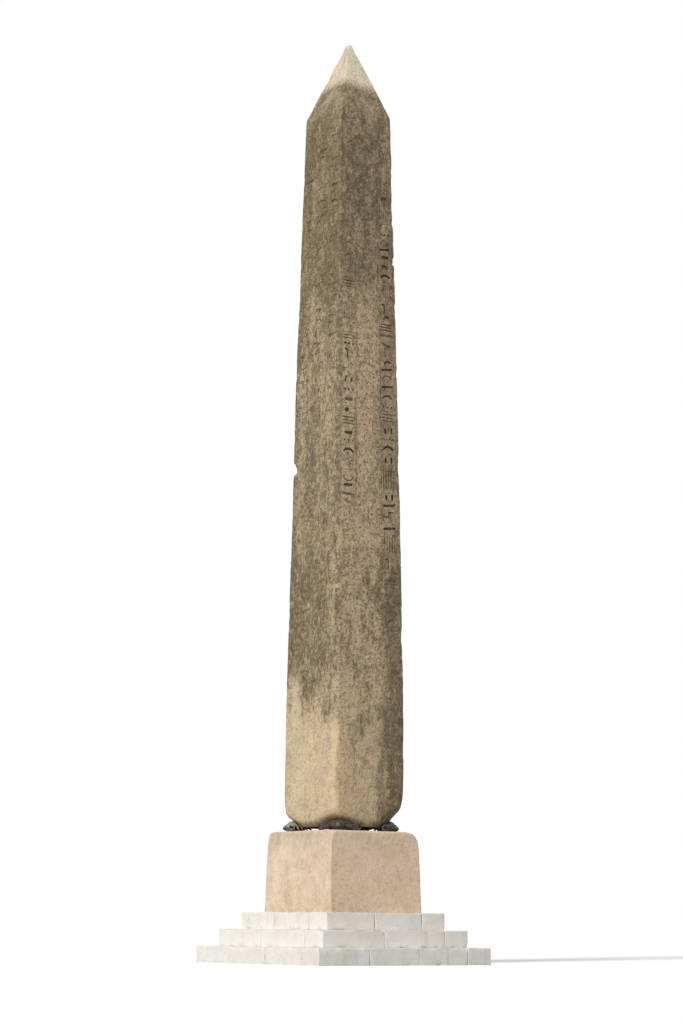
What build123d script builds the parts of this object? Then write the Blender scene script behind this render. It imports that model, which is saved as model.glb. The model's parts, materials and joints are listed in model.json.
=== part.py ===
from build123d import *

import os
from math import exp, pi, sin

# A tapered granite obelisk held at its four corners by bronze crabs, on a battered granite pedestal
# and three stone steps. Millimetres, +Z up, origin at the middle of the steps' underside.
# The two faces most often seen are -X and -Y, so the crab between them is the front one.

os.makedirs("parts", exist_ok=True)

# Steps: three courses of dressed blocks round a solid core
step_rise = 435
step_tread = 420
step_underlap = 350
block_joint = 4
block_arris = 14

# Pedestal; its upper corners are worn back most, the right one furthest
pedestal_foot_width = 2940
pedestal_top_width = 2820
pedestal_height = 2070
pedestal_arris = 24
pedestal_corner_wear = 210
pedestal_right_wear = 560
pedestal_wear_height = 110
pedestal_edge_wear = 45

# Monolith: the shaft and its pointed top, one stone; its lower corners are broken away
seat_gap = 110
shaft_foot_width = 2370
shaft_top_width = 1650
shaft_height = 19190
shaft_swell = 18
point_height = 2130
point_tip_width = 130
point_tip_round = 25
top_arris = 22
foot_arris = 220
foot_arris_right = 300
arris_wear_height = 1900
foot_break = 1130
foot_break_height = 210
foot_break_height_right = 360
foot_edge_wear = 90
foot_edge_wear_height = 60

# Lost flakes on the arrises of the monolith: height of the middle above the foot, length, depth
left_flake_height = 9510
left_flake_length = 310
left_flake_depth = 125
front_flake_height = 6390
front_flake_length = 420
front_flake_depth = 70
right_flake_height = 15190
right_flake_length = 260
right_flake_depth = 60
back_flake_height = 4140
back_flake_length = 520
back_flake_depth = 110

# Bronze crabs; the right one stands further in, where more of the stone's corner is gone
crab_reach = 1250
crab_reach_right = 1130
front_crab_aside = 90
shell_length = 540
shell_width = 640
shell_height = 300
shell_rim = 88
shell_front_breadth = 0.14
belly_length = 400
belly_width = 460
seat_clearance = 4
claw_thickness = 110
claw_height = 180
claw_span = 1110
claw_opening = 46
arm_radius = 56
leg_radius = 34
leg_foot_radius = 15
eye_radius = 20
leg_knee_height = 138
leg_span = 920

# Flat facets that make up the worn corners, the shells and the limbs
corner_facets = 5
shell_sides = 24
limb_sides = 8
foot_sections = 8
shaft_sections = 14
shell_sections = 7

# Heights that follow from the sizes above
step_count = 3
pedestal_z = step_count * step_rise
crab_z = pedestal_z + pedestal_height
shaft_z = crab_z + seat_gap


def write(piece, name):
    """Label one finished piece and write it to its own file."""
    piece.part.label = name
    export_step(piece.part, f"parts/{name}.step")


# Steps
def course_width(course):
    """Outer width of a course, counted from 0 at the ground."""
    return pedestal_foot_width + 2 * step_tread * (step_count - course)


ring_depth = step_tread + step_underlap


def course_block(course, length, start):
    """One dressed block of the -Y side of a course, with its exposed upper arris eased."""
    front = -course_width(course) / 2
    with BuildPart() as block:
        with BuildSketch(Plane.XY.offset(course * step_rise)):
            with Locations((start + block_joint / 2, front)):
                Rectangle(length - block_joint, ring_depth - block_joint, align=(Align.MIN, Align.MIN))
        extrude(amount=step_rise)
        top = block.faces().sort_by(Axis.Z)[-1]
        chamfer(top.edges().sort_by(Axis.Y)[0], block_arris)
    return block


def write_course(course, name, blocks_a_side):
    """Four sides of a course, each running from one corner to the next side's end."""
    side = course_width(course) - ring_depth
    length = side / blocks_a_side
    number = 1
    for turn in range(4):
        for place in range(blocks_a_side):
            start = -course_width(course) / 2 + place * length
            side_block = course_block(course, length, start)
            with BuildPart() as piece:
                with Locations(Location((0, 0, 0), (0, 0, 90 * turn))):
                    add(side_block.part)
            write(piece, f"{name}_block_{number:02d}")
            number += 1


write_course(0, "lower_step", 3)
write_course(1, "middle_step", 2)
write_course(2, "upper_step", 2)

for course, name in enumerate(("lower_core", "middle_core", "upper_core")):
    core_width = course_width(course) - 2 * ring_depth - block_joint
    with BuildPart() as core:
        with BuildSketch(Plane.XY.offset(course * step_rise)):
            Rectangle(core_width, core_width)
        extrude(amount=step_rise)
    write(core, name)


# Worn stones: both are lofted through squares whose corners are worn to some radius
def worn_square(width, radii):
    """Square with its corners worn to the radii given for the back, left, front and right one."""
    points = []
    for quarter, radius in enumerate(radii):
        middle = Vector(width / 2 - radius, width / 2 - radius).rotate(Axis.Z, 90 * quarter)
        for facet in range(corner_facets + 1):
            rim = middle + Vector(radius, 0).rotate(Axis.Z, 90 * (quarter + facet / corner_facets))
            points.append((rim.X, rim.Y))
    with BuildSketch() as square:
        Polygon(*points, align=None)
    return square.sketch


# Pedestal
def pedestal_radii(depth):
    """Corner radii at a depth below the top of the pedestal."""
    fade = exp(-depth / pedestal_wear_height)
    usual = pedestal_arris + pedestal_corner_wear * fade
    return (usual, usual, usual, pedestal_arris + pedestal_right_wear * fade)


def pedestal_width(depth):
    """Width at a depth below the top: an even batter, with the top edge worn round."""
    batter = pedestal_top_width + (pedestal_foot_width - pedestal_top_width) * depth / pedestal_height
    return batter - 2 * pedestal_edge_wear * max(0, 1 - depth / pedestal_edge_wear) ** 2


pedestal_depths = [
    pedestal_height,
    3 * pedestal_wear_height,
    1.5 * pedestal_wear_height,
    0.75 * pedestal_wear_height,
    pedestal_edge_wear,
    pedestal_edge_wear * 0.45,
    0,
]

with BuildPart() as pedestal:
    for depth in pedestal_depths:
        with BuildSketch(Plane.XY.offset(crab_z - depth)):
            add(worn_square(pedestal_width(depth), pedestal_radii(depth)))
    loft(ruled=True)
write(pedestal, "pedestal")


# Monolith
def stone_width(height):
    """Width of the stone above its foot: a slightly swelling shaft, then a straight-sided point."""
    if height <= shaft_height:
        share = height / shaft_height
        straight = shaft_foot_width + (shaft_top_width - shaft_foot_width) * share
        edge_wear = 2 * foot_edge_wear * exp(-height / foot_edge_wear_height)
        return straight + 2 * shaft_swell * sin(pi * share) - edge_wear
    share = (height - shaft_height) / point_height
    straight = shaft_top_width + (point_tip_width - shaft_top_width) * share
    below_tip = shaft_height + point_height - height
    blunting = 2 * max(0, point_tip_round - below_tip)
    return straight - blunting


def worn_corner(height, foot_radius, break_height):
    """Radius of a corner: an arris that sharpens with height, over a broken foot."""
    arris = top_arris + (foot_radius - top_arris) * exp(-height / arris_wear_height)
    radius = arris + (foot_break - arris) / (1 + (height / break_height) ** 4)
    return min(radius, stone_width(height) / 2.04)


def stone_radii(height):
    """Corner radii of the stone above its foot."""
    usual = worn_corner(height, foot_arris, foot_break_height)
    right = worn_corner(height, foot_arris_right, foot_break_height_right)
    return (usual, usual, usual, right)


def stone(heights, clearance=0):
    """The stone through the given heights above its foot, or a cutter a clearance larger."""
    with BuildPart() as solid:
        for height in heights:
            radii = [radius + clearance for radius in stone_radii(height)]
            with BuildSketch(Plane.XY.offset(shaft_z + height)):
                add(worn_square(stone_width(height) + 2 * clearance, radii))
        loft(ruled=True)
    return solid


def arris_flake(turn, height, length, depth):
    """Wedge that takes a flake off one arris: a sloping break above, a flatter ledge below."""
    arris_distance = (stone_width(height) / 2) * 2 ** 0.5 - stone_radii(height)[0] * (2 ** 0.5 - 1)
    across = Plane(origin=(0, 0, shaft_z + height), x_dir=Vector(1, 0, 0).rotate(Axis.Z, turn),
                   z_dir=Vector(0, -1, 0).rotate(Axis.Z, turn))
    with BuildPart() as flake:
        with BuildSketch(across):
            Polygon((arris_distance - depth, -length * 0.4), (arris_distance + depth, -length * 0.5),
                    (arris_distance + depth, length * 0.8), (arris_distance - depth * 0.75, length * 0.25),
                    align=None)
        extrude(amount=length + 3 * depth, both=True)
    return flake


foot_heights = [3 * foot_break_height * (level / foot_sections) ** 1.5 for level in range(foot_sections)]
shaft_heights = [shaft_height * (level / shaft_sections) ** 3 for level in range(5, shaft_sections + 1)]
tip_height = shaft_height + point_height
uncut_stone = stone(foot_heights + shaft_heights + [tip_height - point_tip_round, tip_height])
flakes = [
    arris_flake(135, left_flake_height, left_flake_length, left_flake_depth),
    arris_flake(225, front_flake_height, front_flake_length, front_flake_depth),
    arris_flake(315, right_flake_height, right_flake_length, right_flake_depth),
    arris_flake(45, back_flake_height, back_flake_length, back_flake_depth),
]

with BuildPart() as monolith:
    add(uncut_stone.part)
    for flake in flakes:
        add(flake.part, mode=Mode.SUBTRACT)
write(monolith, "monolith")


# Crabs, each made facing +X with its belly on Z = 0
def oval(length, width, sides, breadth=0):
    """Oval in flat facets, broadened towards +X by some share of its width."""
    points = []
    for side in range(sides):
        point = Vector(1, 0).rotate(Axis.Z, 360 * side / sides)
        points.append((point.X * length / 2, point.Y * width / 2 * (1 + breadth * point.X)))
    with BuildSketch() as outline:
        Polygon(*points, align=None)
    return outline.sketch


def limb(start, bend, end, radii, axis, slimness=1):
    """Tapering member through three points; its stations all face along one axis."""
    with BuildLine() as middle:
        Spline(start, bend, end)
    with BuildPart() as member:
        for station, radius in enumerate(radii):
            place = middle.wires()[0] @ (station / (len(radii) - 1))
            with BuildSketch(Plane(origin=place, x_dir=(0, 0, 1), z_dir=axis)):
                add(oval(2 * radius, 2 * radius * slimness, limb_sides if slimness == 1 else 2 * limb_sides))
        loft(ruled=True)
    return member


with BuildPart() as body:
    with BuildSketch(Plane.XY):
        add(oval(belly_length, belly_width, shell_sides, shell_front_breadth))
    for section in range(shell_sections):
        rise = sin(pi / 2 * section / (shell_sections - 0.5))
        spread = (1 - rise ** 2.4) ** 0.5
        with BuildSketch(Plane.XY.offset(shell_rim + (shell_height - shell_rim) * rise)):
            add(oval(shell_length * spread, shell_width * spread, shell_sides, shell_front_breadth))
    loft(ruled=True)

legs = []
for pair in range(4):
    root = (shell_length * (0.12 - 0.13 * pair), shell_width * 0.34, shell_rim)
    foot = (shell_length * (-0.10 - 0.20 * pair), leg_span / 2 - 25 * pair, leg_foot_radius)
    knee = ((root[0] + foot[0]) / 2, (shell_width + leg_span) / 4 - 16 * pair, leg_knee_height)
    radii = (leg_radius, leg_radius * 0.9, leg_radius * 1.1, leg_radius * 0.85, leg_foot_radius)
    legs.append(limb(root, knee, foot, radii, (0, 1, 0)))

arm = limb((shell_length * 0.26, shell_width * 0.28, shell_rim * 1.1),
           (shell_length * 0.44, shell_width * 0.44, claw_height * 0.52),
           (shell_length * 0.38, shell_width * 0.57, claw_height * 0.5),
           (arm_radius, arm_radius, arm_radius * 1.05, arm_radius * 0.85, arm_radius * 1.1, arm_radius * 0.8),
           (0.4, 1, 0))

# Each claw is a palm that forks into a fixed lower finger and a hooked upper one
claw_slimness = claw_thickness / claw_height
palm_end = (shell_length * 0.10, claw_span * 0.425, claw_height / 2)
palm = limb((shell_length * 0.42, shell_width * 0.49, claw_height / 2),
            (shell_length * 0.31, shell_width * 0.60, claw_height / 2), palm_end,
            (claw_height * 0.24, claw_height * 0.42, claw_height * 0.5, claw_height * 0.48, claw_height * 0.42),
            (-1, 1, 0), claw_slimness)
fingers = []
for side, root_radius in ((-1, claw_height * 0.22), (1, claw_height * 0.20)):
    spread = side * (claw_opening + claw_height) / 4
    fingers.append(limb((palm_end[0] + 30, palm_end[1] - 30, claw_height / 2 + spread * 0.9),
                        (shell_length * 0.015, claw_span * 0.47, claw_height / 2 + spread),
                        (-shell_length * 0.08, claw_span / 2, claw_height / 2 + spread * 0.35),
                        (root_radius, root_radius, root_radius * 0.75, root_radius * 0.3), (-1, 1, 0), 0.8))

with BuildPart() as eye:
    with BuildSketch(Plane.XY.offset(shell_rim)):
        with Locations((shell_length * 0.46, shell_width * 0.13)):
            RegularPolygon(eye_radius, limb_sides)
    extrude(amount=shell_rim * 0.75)
    chamfer(eye.faces().sort_by(Axis.Z)[-1].edges(), eye_radius * 0.4)

with BuildPart() as crab_casting:
    for member in [arm, palm, eye] + fingers + legs:
        add(member.part)
    mirror(about=Plane.XZ)
    add(body.part)
    split(bisect_by=Plane.XY, keep=Keep.TOP)

# The stone's own foot, a clearance larger, is what it takes out of the backs of the crabs
saddle = stone(foot_heights, seat_clearance)

for name, turn, reach, aside in (("crab_back", 45, crab_reach, 0), ("crab_left", 135, crab_reach, 0),
                                 ("crab_front", 225, crab_reach, front_crab_aside),
                                 ("crab_right", 315, crab_reach_right, 0)):
    place = Vector(reach, aside, 0).rotate(Axis.Z, turn)
    with BuildPart() as crab:
        with Locations(Location((place.X, place.Y, crab_z), (0, 0, turn))):
            add(crab_casting.part)
        add(saddle.part, mode=Mode.SUBTRACT)
    write(crab, name)
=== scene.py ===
import json
import math
import random

import bmesh
import bpy
import numpy as np
from mathutils import Matrix, Vector, noise
from mathutils.geometry import delaunay_2d_cdt

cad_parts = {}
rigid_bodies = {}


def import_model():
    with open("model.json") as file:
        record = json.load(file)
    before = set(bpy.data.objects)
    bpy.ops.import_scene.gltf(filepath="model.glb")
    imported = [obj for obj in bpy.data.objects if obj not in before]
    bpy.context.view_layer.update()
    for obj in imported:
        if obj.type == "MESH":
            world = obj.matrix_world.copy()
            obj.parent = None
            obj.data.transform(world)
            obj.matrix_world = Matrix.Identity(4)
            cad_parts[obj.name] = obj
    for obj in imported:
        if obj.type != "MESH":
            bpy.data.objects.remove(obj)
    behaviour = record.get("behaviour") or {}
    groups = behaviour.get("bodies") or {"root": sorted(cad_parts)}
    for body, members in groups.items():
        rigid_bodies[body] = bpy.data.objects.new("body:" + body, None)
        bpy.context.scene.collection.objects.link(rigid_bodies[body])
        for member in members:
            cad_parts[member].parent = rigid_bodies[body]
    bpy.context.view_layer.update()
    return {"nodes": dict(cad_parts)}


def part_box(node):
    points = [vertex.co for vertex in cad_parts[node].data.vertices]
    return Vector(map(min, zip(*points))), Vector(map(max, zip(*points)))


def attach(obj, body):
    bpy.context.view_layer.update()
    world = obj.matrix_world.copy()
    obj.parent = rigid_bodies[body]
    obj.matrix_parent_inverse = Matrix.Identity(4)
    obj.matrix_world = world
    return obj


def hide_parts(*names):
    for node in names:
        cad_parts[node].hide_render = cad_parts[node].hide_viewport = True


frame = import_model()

# Metres, +Z up, the same frame and the same sizes as the solids.

# Heights
STEP_TOP = 1.305
PEDESTAL_HEIGHT = 2.07
PEDESTAL_TOP = STEP_TOP + PEDESTAL_HEIGHT
SEAT_GAP = 0.11
SHAFT_FOOT = PEDESTAL_TOP + SEAT_GAP
SHAFT_HEIGHT = 19.19
POINT_HEIGHT = 2.13
STONE_HEIGHT = SHAFT_HEIGHT + POINT_HEIGHT

# The stone's section and its wear
FOOT_WIDTH, TOP_WIDTH, TIP_WIDTH = 2.37, 1.65, 0.13
SWELL = 0.018
TIP_ROUND = 0.025
FOOT_EDGE_WEAR, FOOT_EDGE_WEAR_HEIGHT = 0.09, 0.06
TOP_ARRIS, ARRIS_WEAR_HEIGHT, FOOT_BREAK = 0.022, 1.9, 1.13
# By corner: 0 front, 1 right, 2 back, 3 left
FOOT_ARRIS = (0.22, 0.30, 0.22, 0.22)
FOOT_BREAK_HEIGHT = (0.21, 0.36, 0.21, 0.21)
# More wear below a height, as (radius, height, fade)
LOWER_WEAR = {0: (0.11, 14.8, 1.6), 3: (0.10, 13.0, 5.0)}

# The pedestal's section and its wear
PEDESTAL_WIDTH, PEDESTAL_BATTER = 2.82, 0.12
PEDESTAL_EDGE_WEAR = 0.045
PEDESTAL_ARRIS, PEDESTAL_WEAR_HEIGHT = 0.024, 0.11
PEDESTAL_WEAR = (0.21, 0.56, 0.21, 0.21)

# The four faces in turn, each as (outward normal, direction of its local x)
FACES = [((0, -1), (1, 0)), ((1, 0), (0, 1)), ((0, 1), (-1, 0)), ((-1, 0), (0, -1))]


def fbm(points, scale, octaves=3, seed=0.0):
    """Fractal noise in about -1 to 1 at an array of points."""
    out = np.zeros(len(points))
    amplitude, total = 1.0, 0.0
    for octave in range(octaves):
        factor = 2.0 ** octave / scale
        shift = seed * 7.31 + octave * 19.7
        out += amplitude * np.array([noise.noise(Vector((p[0] * factor + shift, p[1] * factor - shift,
                                                          p[2] * factor + 0.5 * shift))) for p in points])
        total += amplitude
        amplitude *= 0.5
    return out / total


def smooth(x):
    x = np.clip(x, 0.0, 1.0)
    return x * x * (3 - 2 * x)


def placed(name, data):
    """A new object that holds the data, linked to the scene."""
    obj = bpy.data.objects.new(name, data)
    bpy.context.scene.collection.objects.link(obj)
    return obj


# Sections of the worn stones


def stone_width(h):
    share = np.clip(h / SHAFT_HEIGHT, 0, 1)
    shaft = FOOT_WIDTH + (TOP_WIDTH - FOOT_WIDTH) * share + 2 * SWELL * np.sin(np.pi * share)
    shaft = shaft - 2 * FOOT_EDGE_WEAR * np.exp(-h / FOOT_EDGE_WEAR_HEIGHT)
    share = np.clip((h - SHAFT_HEIGHT) / POINT_HEIGHT, 0, 1)
    point = TOP_WIDTH + (TIP_WIDTH - TOP_WIDTH) * share - 2 * np.maximum(0, TIP_ROUND - (STONE_HEIGHT - h))
    return np.where(h <= SHAFT_HEIGHT, shaft, point)


def stone_radius(corner, h):
    """Worn radius of a corner, less than half of the stone's width."""
    arris = TOP_ARRIS + (FOOT_ARRIS[corner] - TOP_ARRIS) * np.exp(-h / ARRIS_WEAR_HEIGHT)
    if corner in LOWER_WEAR:
        more, top, fade = LOWER_WEAR[corner]
        arris = arris + more * smooth((top - h) / fade)
    broken = (FOOT_BREAK - arris) / (1 + (h / FOOT_BREAK_HEIGHT[corner]) ** 4)
    return np.minimum(arris + broken, stone_width(h) / 2.04)


def pedestal_width(h):
    depth = PEDESTAL_HEIGHT - h
    batter = PEDESTAL_WIDTH + PEDESTAL_BATTER * depth / PEDESTAL_HEIGHT
    return batter - 2 * PEDESTAL_EDGE_WEAR * np.maximum(0, 1 - depth / PEDESTAL_EDGE_WEAR) ** 2


def pedestal_radius(corner, h):
    return PEDESTAL_ARRIS + PEDESTAL_WEAR[corner] * np.exp(-(PEDESTAL_HEIGHT - h) / PEDESTAL_WEAR_HEIGHT)


def on_outline(k, x, h, width, radius):
    """Points and outward normals on face k at arc length x from its middle and at height h."""
    normal, along = FACES[k]
    half = width(h) / 2
    round_ = np.where(x < 0, radius(k, h), radius((k + 1) % 4, h))
    flat = half - round_
    reach = np.abs(x)
    side = np.sign(x)
    turn = np.clip((reach - flat) / round_, 0, math.pi / 4)
    tangent = side * (np.minimum(reach, flat) + round_ * np.sin(turn))
    outward = flat + round_ * np.cos(turn)
    px = tangent * along[0] + outward * normal[0]
    py = tangent * along[1] + outward * normal[1]
    nx = np.cos(turn) * normal[0] + side * np.sin(turn) * along[0]
    ny = np.cos(turn) * normal[1] + side * np.sin(turn) * along[1]
    return np.stack([px, py, h], axis=1), np.stack([nx, ny, np.zeros(len(h))], axis=1)


def half_length(k, side, h, width, radius):
    """Arc length from the middle of face k to its arris on one side, at height h."""
    corner = k if side < 0 else (k + 1) % 4
    round_ = radius(corner, h)
    return width(h) / 2 - round_ + round_ * math.pi / 4


# Incised marks: generic strokes, discs and bars, in no script


def arc(cx, cz, r, a0, a1, n):
    return [(cx + r * math.cos(math.radians(a0 + (a1 - a0) * i / n)),
             cz + r * math.sin(math.radians(a0 + (a1 - a0) * i / n))) for i in range(n + 1)]


def motif(kind, w, rnd):
    """Strokes of one mark, as (points, half width), in a box w wide, and the mark's height."""
    thin = 0.016 + rnd.uniform(0.0, 0.007)
    thick = 0.028 + rnd.uniform(0.0, 0.010)
    aside = w * rnd.uniform(-0.14, 0.14)
    if kind == "lid":
        return [(arc(aside, 0.0, w * 0.20, 165, 35, 5), thick)], 0.03 + w * 0.22
    if kind == "brow":
        return [(arc(0, -0.06, w * 0.40, 140, 40, 6), thick * 0.85)], w * 0.40
    if kind == "bowl":
        return [(arc(0, 0.13, w * 0.36, 205, 335, 7), thin)], 0.15
    if kind == "bar":
        return [([(-w * 0.36, 0.02), (-w * 0.05, 0.035), (w * 0.36, 0.05)], thick)], 0.09
    if kind == "bars":
        lines = [0.02 + 0.075 * i for i in range(3)]
        return [([(-w * 0.42, z), (w * 0.42, z)], thin * 0.85) for z in lines], 0.20
    if kind == "disc":
        return [([(aside, 0.09), (aside + 0.001, 0.09)], w * 0.15)], 0.16
    if kind == "hook":
        return [([(w * 0.10, 0.0), (w * 0.10, 0.16)] + arc(w * 0.22, 0.16, w * 0.12, 180, 60, 4), thin * 1.3)], 0.26
    if kind == "wave":
        points = [(-w * 0.45 + w * 0.9 * i / 8, 0.03 + 0.045 * (i % 2)) for i in range(9)]
        return [(points, thin)], 0.10
    if kind == "block":
        return [([(-w * 0.20, 0.07), (w * 0.20, 0.07)], 0.044)], 0.14
    if kind == "pods":
        return [([(-w * 0.24, 0.04), (-w * 0.22, 0.15)], 0.036), ([(w * 0.18, 0.04), (w * 0.20, 0.11)], 0.040)], 0.20
    if kind == "posts":
        places = [-w * 0.36 + w * 0.18 * i for i in range(5)]
        return [([(x, 0.02), (x, 0.42)], thin * 0.8) for x in places], 0.46
    if kind == "stair":
        points = [(-w * 0.4, 0.02), (-w * 0.4, 0.11), (-w * 0.05, 0.11), (-w * 0.05, 0.22), (w * 0.38, 0.22)]
        return [(points, thin)], 0.26
    if kind == "staff":
        return [([(aside, 0.0), (aside, 0.30)], thin), ([(-w * 0.25, 0.27), (w * 0.25, 0.34)], thick * 0.8)], 0.38
    places = [-w * 0.28 + w * 0.28 * i for i in range(3)]
    return [([(x, 0.05), (x, 0.051)], thick) for x in places], 0.11


KINDS = ["lid", "lid", "brow", "brow", "bowl", "bar", "bar", "bars", "disc", "hook", "wave", "block", "pods", "posts",
         "stair", "staff", "dots"]
MARKS_LOW, MARKS_HIGH = 1.1, SHAFT_HEIGHT - 0.45
MARK_WIDTH = 0.42
CLEAR_OF_MARKS = 0.013
# As shares of the stone's width
COLUMN_PITCH, COLUMN_WIDTH = 0.325, 0.235
COLUMN_LINES = (-0.468, -0.205, 0.205, 0.468)


def face_marks(k):
    """Every stroke on face k of the shaft, as (points, half width, depth)."""
    rnd = random.Random(100 + k)
    strokes = []
    for column in (-1, 0, 1):
        h = MARKS_HIGH
        last = None
        while h > MARKS_LOW:
            wide = float(stone_width(np.array([h]))[0])
            w = wide * COLUMN_WIDTH
            kind = rnd.choice([q for q in KINDS if q != last])
            last = kind
            marks, tall = motif(kind, w, rnd)
            scale = w / MARK_WIDTH
            flip = rnd.choice((-1, 1))
            h -= tall * scale
            cx = column * COLUMN_PITCH * wide
            strength = rnd.choice((0.50, 0.75, 1.0, 1.2, 1.2))
            for points, half in marks:
                placed = [(cx + flip * px + rnd.uniform(-0.008, 0.008), h + pz * scale + rnd.uniform(-0.006, 0.006))
                          for px, pz in points]
                strokes.append((placed, half, strength * min(0.060, half * rnd.uniform(1.6, 2.3))))
            h -= rnd.uniform(0.05, 0.14)
    for line in COLUMN_LINES:
        points = []
        for i in range(60):
            h = MARKS_LOW - 0.3 + (MARKS_HIGH + 0.25 - MARKS_LOW + 0.3) * i / 59
            points.append((line * float(stone_width(np.array([h]))[0]), h))
        strokes.append((points, 0.011, 0.010))
    return strokes


def bevel(half):
    """How wide the sloping side of a stroke is, for its half width."""
    return min(0.009, half * 0.6)


def stroke_outline(points, half):
    """Closed outline of a stroke with round ends, with its points no more than about 50 mm apart."""
    line = [np.array(points[0], dtype=float)]
    for a, b in zip(points, points[1:]):
        a, b = np.array(a, dtype=float), np.array(b, dtype=float)
        n = max(1, int(np.linalg.norm(b - a) / 0.05))
        line += [a + (b - a) * (i + 1) / n for i in range(n)]
    left, right, angles = [], [], []
    for i, p in enumerate(line):
        a, b = line[max(0, i - 1)], line[min(len(line) - 1, i + 1)]
        d = (b - a) / max(1e-9, np.linalg.norm(b - a))
        n = np.array([-d[1], d[0]])
        left.append(p + n * half)
        right.append(p - n * half)
        angles.append(math.atan2(d[1], d[0]))
    sides = 6 if half > 0.04 else 3

    def round_end(centre, start):
        turns = [start - math.pi * i / sides for i in range(1, sides)]
        return [centre + half * np.array([math.cos(turn), math.sin(turn)]) for turn in turns]

    tip = round_end(line[-1], angles[-1] + math.pi / 2)
    tail = round_end(line[0], angles[0] - math.pi / 2)
    return left + tip + right[::-1] + tail


def distance_to(points, xs, zs):
    """Distance of each place from a line of points."""
    best = np.full(len(xs), 1e9)
    for (ax, az), (bx, bz) in zip(points, points[1:]):
        dx, dz = bx - ax, bz - az
        t = np.clip(((xs - ax) * dx + (zs - az) * dz) / max(1e-12, dx * dx + dz * dz), 0, 1)
        best = np.minimum(best, np.hypot(xs - ax - t * dx, zs - az - t * dz))
    return best


def carve_depth(strokes, xs, zs):
    """How deep the marks are cut at each point, and how near each point is to a mark's outline."""
    depth = np.zeros(len(xs))
    near = np.full(len(xs), 1e9)
    for points, half, deep in strokes:
        px = [p[0] for p in points]
        pz = [p[1] for p in points]
        pad = half + 0.03
        inside = ((xs > min(px) - pad) & (xs < max(px) + pad) & (zs > min(pz) - pad) & (zs < max(pz) + pad))
        if not inside.any():
            continue
        d = half - distance_to(points, xs[inside], zs[inside])
        soft = bevel(half)
        depth[inside] = np.maximum(depth[inside], deep * np.clip(d / soft, 0, 1))
        near[inside] = np.minimum(near[inside], np.minimum(np.abs(d), np.abs(d - soft)))
    return depth, near


def carving_left(k, x, h, place):
    """How much of the carving is left, by face, place across it and height."""
    patch = 0.5 + 0.9 * fbm(place, 1.1, 3, seed=3 + k) + 0.7 * fbm(place, 0.30, 2, seed=8 + k)
    width = stone_width(h)
    across = x / width
    if k == 0:
        left = 0.75 * smooth((-across - 0.17) / 0.05) * smooth((h - 7.5) / 2.5) * smooth((16.0 - h) / 3.0)
        right = smooth((across - 0.10) / 0.08) * smooth((h - 4.0) / 4.0) * smooth((18.0 - h) / 3.0)
        keep = 0.08 + np.maximum(left, right)
    elif k == 3:
        keep = 0.05 + 0.30 * smooth((h - 8.0) / 5.0)
    else:
        keep = 0.35 + 0.50 * smooth((h - 2.5) / 4.0)
    keep = keep * (0.40 + 0.60 * smooth(patch * 1.5 - 0.15))
    return np.clip(keep, 0.0, 1.0) * smooth((h - 0.9) / 1.2)


# Each as (corner, height, length, depth)
FLAKES = [(3, 9.51, 0.31, 0.125), (0, 6.39, 0.42, 0.070), (1, 15.19, 0.26, 0.060), (2, 4.14, 0.52, 0.110)]
ROOT = math.sqrt(0.5)
DIAGONALS = [(-ROOT, -ROOT), (ROOT, -ROOT), (ROOT, ROOT), (-ROOT, ROOT)]


def push_back(points, diagonal, limit):
    """Move the points that lie beyond a limit along a diagonal back to it."""
    dx, dy = diagonal
    over = np.maximum(0, points[:, 0] * dx + points[:, 1] * dy - limit)
    points[:, 0] -= over * dx
    points[:, 1] -= over * dy


def flake_cut(points):
    """Take the lost flakes off the arrises: a sloping break above, a flatter ledge below."""
    for corner, middle, length, depth in FLAKES:
        width = float(stone_width(np.array([middle]))[0])
        radius = float(stone_radius(corner, np.array([middle]))[0])
        arris = width / 2 * math.sqrt(2) - radius * (math.sqrt(2) - 1)
        rel = (points[:, 2] - middle) / length
        break_in = np.interp(rel, [-0.5, -0.42, -0.3, 0.25, 0.75], [0.0, 0.9, 1.0, 0.7, 0.0])
        wobble = 0.012 * np.sin(points[:, 2] * 61.0) + 0.008 * np.sin(points[:, 0] * 47.0 + points[:, 1] * 39.0)
        push_back(points, DIAGONALS[corner], np.where(break_in > 0, arris - depth * break_in + wobble, 9.0))
    return points


def lost_arrises(k, points, width, radius, amount, seed):
    """Break the two arrises of face k back to uneven facets square to the diagonals."""
    h = points[:, 2]
    for corner in (k, (k + 1) % 4):
        line = np.stack([np.full(len(h), corner * 13.7 + seed), np.zeros(len(h)), h], axis=1)
        coarse = np.maximum(0, fbm(line, 0.9, 2, seed=11 + seed) - 0.02)
        fine = np.maximum(0, fbm(line, 0.22, 2, seed=17 + seed) - 0.05)
        arris = (width(h) - radius(corner, h) * (2 - math.sqrt(2))) * ROOT
        push_back(points, DIAGONALS[corner], arris - amount * (coarse * 1.4 + fine * 0.8))
    return points


def enclosed(faces, border):
    """The triangles inside the border lines: the rest are reached from the hull without crossing a line."""
    walls = {frozenset(edge) for line in border for edge in zip(line, line[1:])}
    sides = {}
    for n, (a, b, c) in enumerate(faces):
        for edge in ((a, b), (b, c), (c, a)):
            sides.setdefault(frozenset(edge), []).append(n)
    open_to = {}
    for edge, users in sides.items():
        if edge not in walls:
            for n in users:
                open_to.setdefault(n, []).extend(users if len(users) > 1 else [-1])
    outside = {n for n, users in open_to.items() if -1 in users}
    queue = list(outside)
    while queue:
        for n in open_to[queue.pop()]:
            if n >= 0 and n not in outside:
                outside.add(n)
                queue.append(n)
    return [f for n, f in enumerate(faces) if n not in outside]


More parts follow.
